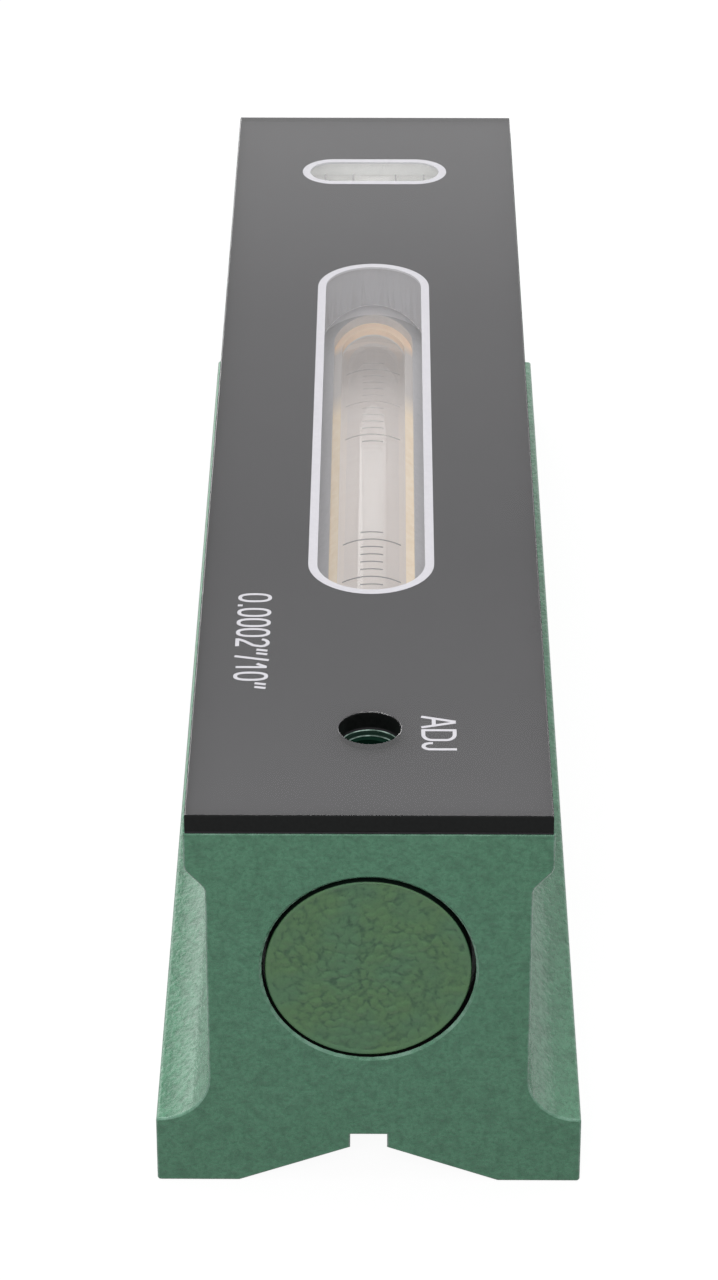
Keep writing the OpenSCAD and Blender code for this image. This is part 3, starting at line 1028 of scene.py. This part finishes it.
def buildPlate():
    sizes = plateSizes
    thickness = sizes["top"] - sizes["bottom"]
    bpy.ops.mesh.primitive_cube_add(
        size=1, location=mm(0, 0, (sizes["bottom"] + sizes["top"]) / 2),
        scale=mm(sizes["width"], 2 * halfLength, thickness))
    piece = named("cover_plate")
    applyPlace(piece)
    bpy.ops.mesh.primitive_cylinder_add(
        vertices=sizes["holeSides"], radius=mm(sizes["holeRadius"]), depth=mm(4 * thickness),
        location=mm(0, screwY, sizes["top"]))
    cutWith(piece, named("plateCutter"))
    topZ = mm(sizes["top"] - margin)
    edgeX, edgeY = mm(sizes["width"] / 2 - margin, halfLength - margin)

    def onRim(first, second):
        middle = (first + second) / 2
        around = math.hypot(middle.x, middle.y - mm(screwY))
        return middle.z > topZ and (
            abs(middle.x) > edgeX or abs(middle.y) > edgeY or around < mm(sizes["holeRadius"] + margin))

    selectEdges(piece, onRim)
    bpy.ops.mesh.bevel(offset=mm(sizes["edgeBevel"]), segments=sizes["edgeSegments"], affect="EDGES")
    setMode("OBJECT")
    piece.data.materials.append(clearCover)
    piece.data.materials.append(edgeBlack)
    for face in piece.data.polygons:
        face.material_index = 1 if abs(face.normal.z) < 0.9 else 0
    finishPiece(piece, "level_bar", clearCover, ("top_plate",), sizes["smoothAngle"])
    flattenFaces(piece)


buildPlate()
print("cover plate made")

# prints: drawn as strokes of one width, with the letters standing towards +X and read towards -Y

printLook = {
    "bottom": 47.103,
    "thickness": 0.02,
    "layer": 0.002,
    "stroke": 0.45,
}

numberSizes = {
    "base": -15.65,
    "height": 3.60,
    "starts": [
        ("0", -48.17, 1.77), (".", -50.97, 0.0), ("0", -51.82, 1.74), ("0", -54.33, 1.70),
        ("0", -56.74, 1.70), ("2", -59.20, 1.66), ("inch", -61.66, 1.10), ("slash", -63.23, 0.95),
        ("1", -65.0, 0.85), ("0", -67.10, 1.68), ("inch", -69.55, 1.10),
    ],
}

adjustSizes = {
    "base": 6.05,
    "height": 3.55,
    "starts": [("A", -77.08, 2.40), ("D", -80.10, 2.18), ("J", -82.97, 1.35)],
}


def oval(power, steps):
    # a closed round shape whose sides are the flatter the higher the power
    points = []
    for step in range(steps):
        angle = 2 * math.pi * step / steps
        across, up = math.cos(angle), math.sin(angle)
        points.append((0.5 + 0.5 * math.copysign(abs(across) ** (2 / power), across),
                       0.5 + 0.5 * math.copysign(abs(up) ** (2 / power), up)))
    return points


def arc(centreX, centreY, radiusX, radiusY, start, end, steps):
    turn = [math.radians(start + (end - start) * step / steps) for step in range(steps + 1)]
    return [(centreX + radiusX * math.cos(angle), centreY + radiusY * math.sin(angle)) for angle in turn]


# each glyph is a list of strokes, with x from 0 to 1 across its width and y from 0 to 1 up its height
glyphs = {
    "0": [oval(2.5, 32)],
    "1": [[(0.95, 0.0), (0.95, 1.0)], [(0.9, 0.98), (0.0, 0.68)]],
    "2": [arc(0.5, 0.76, 0.5, 0.24, 170, 0, 12) + [(0.86, 0.52), (0.28, 0.24), (0.06, 0.08), (0.02, 0.0)],
          [(-0.1, 0.0), (1.0, 0.0)]],
    ".": [[(0.0, -0.06), (0.0, 0.10)]],
    "inch": [[(0.0, 0.64), (0.24, 1.0)], [(0.78, 0.64), (1.02, 1.0)]],
    "slash": [[(0.0, -0.06), (1.0, 1.06)]],
    "A": [[(0.0, -0.06), (0.47, 1.04)], [(1.0, -0.06), (0.53, 1.04)], [(0.14, 0.34), (0.86, 0.34)]],
    "D": [[(0.0, -0.06), (0.0, 1.06)],
          [(0.0, 1.0), (0.35, 1.0)] + arc(0.45, 0.72, 0.55, 0.28, 90, 0, 8)
          + arc(0.45, 0.28, 0.55, 0.28, 0, -90, 8) + [(0.35, 0.0), (0.0, 0.0)]],
    "J": [[(1.0, 1.06), (1.0, 0.3)] + arc(0.5, 0.24, 0.5, 0.24, 0, -180, 12) + [(0.0, 0.3)]],
}


def drawLine(name, points, closed):
    curve = bpy.data.curves.new(name, "CURVE")
    curve.dimensions = "2D"
    spline = curve.splines.new("POLY")
    spline.points.add(len(points) - 1)
    for target, (x, y) in zip(spline.points, points):
        target.co = (x, y, 0, 1)
    spline.use_cyclic_u = closed
    return curve


def addStroke(points, closed, profile, layer):
    curve = drawLine("stroke", points, closed)
    curve.fill_mode = "NONE"
    curve.bevel_mode = "OBJECT"
    curve.bevel_object = profile
    curve.use_fill_caps = True
    stroke = bpy.data.objects.new("stroke", curve)
    stroke.location.z = mm(printLook["bottom"] + printLook["thickness"] / 2 + layer * printLook["layer"])
    bpy.context.collection.objects.link(stroke)
    return stroke


def buildPrint(name, sizes):
    # a flat rectangle run along each stroke gives it its width
    bpy.ops.curve.primitive_nurbs_path_add()
    profile = bpy.context.object
    x, y = mm(printLook["stroke"] / 2, printLook["thickness"] / 2)
    profile.data = drawLine("strokeOutline", [(-x, -y), (x, -y), (x, y), (-x, y)], True)
    strokes = []
    for glyph, start, width in sizes["starts"]:
        for layer, line in enumerate(glyphs[glyph]):
            places = [mm(sizes["base"] + y * sizes["height"], start - x * width) for x, y in line]
            strokes.append(addStroke(places, glyph == "0", profile, layer))
    pick(*strokes)
    bpy.ops.object.convert(target="MESH")
    bpy.ops.object.join()
    piece = named(name)
    bpy.data.objects.remove(profile)
    applyPlace(piece)
    setMode("EDIT")
    weld(drawnReach)
    turnOutwards()
    finishPiece(piece, "level_bar", whitePrint)


buildPrint("sensitivity_print", numberSizes)
buildPrint("adjust_print", adjustSizes)
print("prints made")

# vials: closed glass tubes, the spirit that fills them and the bubbles that move in them

mainVial = {
    "names": ("long_vial", "long_vial_spirit", "long_vial_bubble"),
    "replaced": ("vial_glass", "vial_spirit", "main_bubble"),
    "bodies": ("vial_carrier", "long_bubble"),
    "place": (0, 0, boreHeight),
    "turned": False,
    "radius": 8.02,
    "bore": 6.2,
    "half": 56.0,
    "endWall": 2.5,
    "endRounding": 2.4,
    "innerRounding": 2.4,
    "spiritExtra": 0.03,
    "bubbleHalf": 13.5,
    "bubbleHalfWidth": 1.5,
    "bubbleDepth": 0.42,
    "air": "longBubbleAir",
    "airStrength": 0.11,
}

crossVial = {
    "names": ("short_vial", "short_vial_spirit", "short_vial_bubble"),
    "replaced": ("cross_vial_glass", "cross_vial_spirit", "cross_bubble"),
    "bodies": ("level_bar", "short_bubble"),
    "place": (0, crossY, crossHeight),
    "turned": True,
    "radius": 4.22,
    "bore": 3.3,
    "half": 13.5,
    "endWall": 1.8,
    "endRounding": 1.5,
    "innerRounding": 0.6,
    "spiritExtra": 0.02,
    "bubbleHalf": 2.9,
    "bubbleHalfWidth": 1.5,
    "bubbleDepth": 0.5,
    "air": "shortBubbleAir",
    "airStrength": 0.15,
}

rodShape = {
    "sides": 96,
    "roundingSteps": 8,
}

# how round the bubble's ends are and how deep it sits, as shares, and the film of spirit over it
bubbleShape = {
    "roundShare": 0.96,
    "sinkShare": 0.4,
    "film": 0.04,
    "smoothAngle": 60,
}


def roundedRod(name, radius, half, rounding):
    # a rod along y round the world origin, with rounded ends
    bpy.ops.mesh.primitive_cylinder_add(
        vertices=rodShape["sides"], radius=mm(radius), depth=mm(2 * half), rotation=(math.pi / 2, 0, 0))
    piece = named(name)
    applyPlace(piece)
    endY = mm(half - margin)
    selectEdges(piece, lambda first, second: min(first.y, second.y) > endY or max(first.y, second.y) < -endY)
    bpy.ops.mesh.bevel(offset=mm(rounding), segments=rodShape["roundingSteps"], affect="EDGES")
    setMode("OBJECT")
    return piece


def buildVial(sizes):
    glassName, spiritName, bubbleName = sizes["names"]
    hollowHalf = sizes["half"] - sizes["endWall"]
    glass = roundedRod(glassName, sizes["radius"], sizes["half"], sizes["endRounding"])
    cutWith(glass, roundedRod("hollow", sizes["bore"], hollowHalf, sizes["innerRounding"]))
    # the wall that the spirit wets bends light less than the outside does
    glass.data.materials.append(vialGlass)
    glass.data.materials.append(wettedGlass)
    middle, middleEnd = mm((sizes["radius"] + sizes["bore"]) / 2, sizes["half"] - sizes["endWall"] / 2)
    for face in glass.data.polygons:
        inside = math.hypot(face.center.x, face.center.z) < middle and abs(face.center.y) < middleEnd
        face.material_index = 1 if inside else 0
    extra = sizes["spiritExtra"]
    filling = roundedRod(spiritName, sizes["bore"] + extra, hollowHalf + extra, sizes["innerRounding"])
    # a long bubble, flattened against the top of the bore
    halfWidth, depth = sizes["bubbleHalfWidth"], sizes["bubbleDepth"]
    bubble = roundedRod(bubbleName, halfWidth, sizes["bubbleHalf"], halfWidth * bubbleShape["roundShare"])
    bubble.scale.z = depth / halfWidth
    bubble.location.z = mm(sizes["bore"] - depth * bubbleShape["sinkShare"])
    applyPlace(bubble)
    inner = roundedRod("inner", sizes["bore"] - bubbleShape["film"], sizes["half"], sizes["endRounding"])
    cutWith(bubble, inner, "INTERSECT")
    for piece in (glass, filling, bubble):
        piece.location = mm(*sizes["place"])
        piece.rotation_euler.z = math.pi / 2 if sizes["turned"] else 0
    air = buildBubbleAir(sizes)
    vialBody, bubbleBody = sizes["bodies"]
    finishPiece(glass, vialBody, vialGlass, sizes["replaced"][:1])
    finishPiece(filling, vialBody, spirit, sizes["replaced"][1:2])
    finishPiece(bubble, bubbleBody, air, sizes["replaced"][2:], bubbleShape["smoothAngle"])


buildVial(mainVial)
buildVial(crossVial)
print("vials made")

# return spring: its end turns rest on the pocket's floor and under the tube; the piece is a smoothed copy of
# the CAD spring

springSizes = {
    "restingTurn": 1.1,
    "rounding": 1,
    "smoothAngle": 60,
}


def buildSpring():
    piece = copyNode("coil_spring", "return_spring")
    mergeClose(piece)
    applyModifier(piece, "SUBSURF", levels=springSizes["rounding"])
    bpy.ops.object.shade_smooth_by_angle(angle=math.radians(springSizes["smoothAngle"]))
    piece.data.materials.append(springSteel)
    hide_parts("return_spring")
    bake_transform(piece)


buildSpring()
print("spring made")

# thread in the adjusting hole, above the screw's highest place

threadSizes = {
    "crest": 2.62,
    "root": 3.02,
    "pitch": 0.5,
    "low": 45.54,
    "start": 150.0,
    "halfWidth": 0.2,
    "steps": 96,
}


def buildThread():
    sizes = threadSizes
    bpy.ops.mesh.primitive_circle_add(
        vertices=3, radius=mm(sizes["halfWidth"]), fill_type="NOTHING", rotation=(math.pi / 2, 0, 0))
    piece = named("adjusting_thread")
    applyPlace(piece)
    corners = [mm(sizes["root"], 0, -sizes["halfWidth"]), mm(sizes["crest"], 0, 0),
               mm(sizes["root"], 0, sizes["halfWidth"])]
    for point, corner in zip(piece.data.vertices, corners):
        point.co = corner
    applyModifier(piece, "SCREW", angle=2 * math.pi, screw_offset=mm(sizes["pitch"]), steps=sizes["steps"],
                  render_steps=sizes["steps"], use_normal_calculate=True)
    pick(piece)
    setMode("EDIT")
    selectAll()
    bpy.ops.mesh.fill_holes(sides=3)
    turnOutwards()
    piece.rotation_euler.z = math.radians(sizes["start"])
    piece.location = mm(0, screwY, sizes["low"])
    finishPiece(piece, "level_bar", castingPaint)


buildThread()
print("thread made")

# floor and studio

studio = {
    "floorSize": 6.0,
    "floorDrop": 0.00005,
    "floorColour": (0.09, 0.09, 0.09, 1),
    "floorLift": 0.93,
    "keyFrom": (-0.22, 0.46, 0.86),
    "skySpread": (-0.5, 1.0, 0.16, 1.06),
    "glossStops": ((0.34, 1.40), (0.39, 1.16), (0.42, 0.96), (0.47, 0.88), (0.50, 1.02), (0.53, 1.30)),
}

# each lamp's size, place and power, and whether the part mirrors it
lamps = {
    "softbox": (0.7, (-0.18, 0.20, 1.12), 4.9, True),
    "rim_light": (0.85, (-0.60, 1.0, 0.48), 3.5, True),
    "front_light": (0.12, (0.0, -0.36, 0.24), 0.46, False),
}


def seenDirectly(paths):
    # to the camera, in a reflection or through glass
    return either(paths["Is Camera Ray"], paths["Is Glossy Ray"], paths["Is Transmission Ray"])


def buildFloor():
    bpy.ops.mesh.primitive_plane_add(size=studio["floorSize"], location=(0, 0, -studio["floorDrop"]))
    floor = named("floor")
    material = bpy.data.materials.new("floorPaper")
    material.use_nodes = True
    tree = material.node_tree
    tree.nodes.clear()
    seen = seenDirectly(addNode(tree, "LightPath").outputs)
    paper = addNode(tree, "BsdfDiffuse", {"Color": studio["floorColour"]})
    glow = both(seen, studio["floorLift"])
    lift = addNode(tree, "Emission", {"Color": (1, 1, 1, 1), "Strength": glow})
    total = addNode(tree, "AddShader", {0: paper.outputs[0], 1: lift.outputs[0]})
    addNode(tree, "OutputMaterial", {"Surface": total.outputs[0]})
    floor.data.materials.append(material)


def buildWorld():
    world = bpy.data.worlds.new("studio")
    bpy.context.scene.world = world
    world.use_nodes = True
    tree = world.node_tree
    tree.nodes.clear()
    way = addNode(tree, "TexCoord").outputs["Generated"]
    towards = addNode(tree, "VectorMath", {0: way, 1: studio["keyFrom"]}, operation="DOT_PRODUCT")
    lighting = remap(towards.outputs["Value"], *studio["skySpread"])
    paths = addNode(tree, "LightPath").outputs
    seen = seenDirectly(paths)
    # reflections meet a soft band of shade at the height of the studio's window
    height = splitAxes(way)[2]
    band = addNode(tree, "ValToRGB")
    ramp = band.color_ramp
    stops = studio["glossStops"]
    while len(ramp.elements) < len(stops):
        ramp.elements.new(0.5)
    for element, (place, level) in zip(ramp.elements, stops):
        element.position = place
        element.color = (level, level, level, 1)
    tree.links.new(height, band.inputs[0])
    shown = blendValue(paths["Is Glossy Ray"], 1.0, band.outputs[0])
    strength = blendValue(seen, lighting, shown)
    sky = addNode(tree, "Background", {"Color": (1, 1, 1, 1), "Strength": strength})
    addNode(tree, "OutputWorld", {"Surface": sky.outputs[0]})


def buildLamp(name):
    size, place, power, mirrored = lamps[name]
    bpy.ops.object.light_add(type="AREA", location=place)
    lamp = bpy.context.object
    lamp.name = name
    lamp.data.size = size
    lamp.data.energy = power
    lamp.visible_glossy = mirrored
    lamp.visible_transmission = mirrored
    lamp.rotation_euler = (-Vector(place)).to_track_quat("-Z", "Y").to_euler()


buildFloor()
buildWorld()
for lampName in lamps:
    buildLamp(lampName)
scene = bpy.context.scene
scene.view_settings.view_transform = "Standard"
scene.cycles.max_bounces = 24
scene.cycles.diffuse_bounces = 12
scene.cycles.transmission_bounces = 24
scene.cycles.transparent_max_bounces = 24
print("studio made")
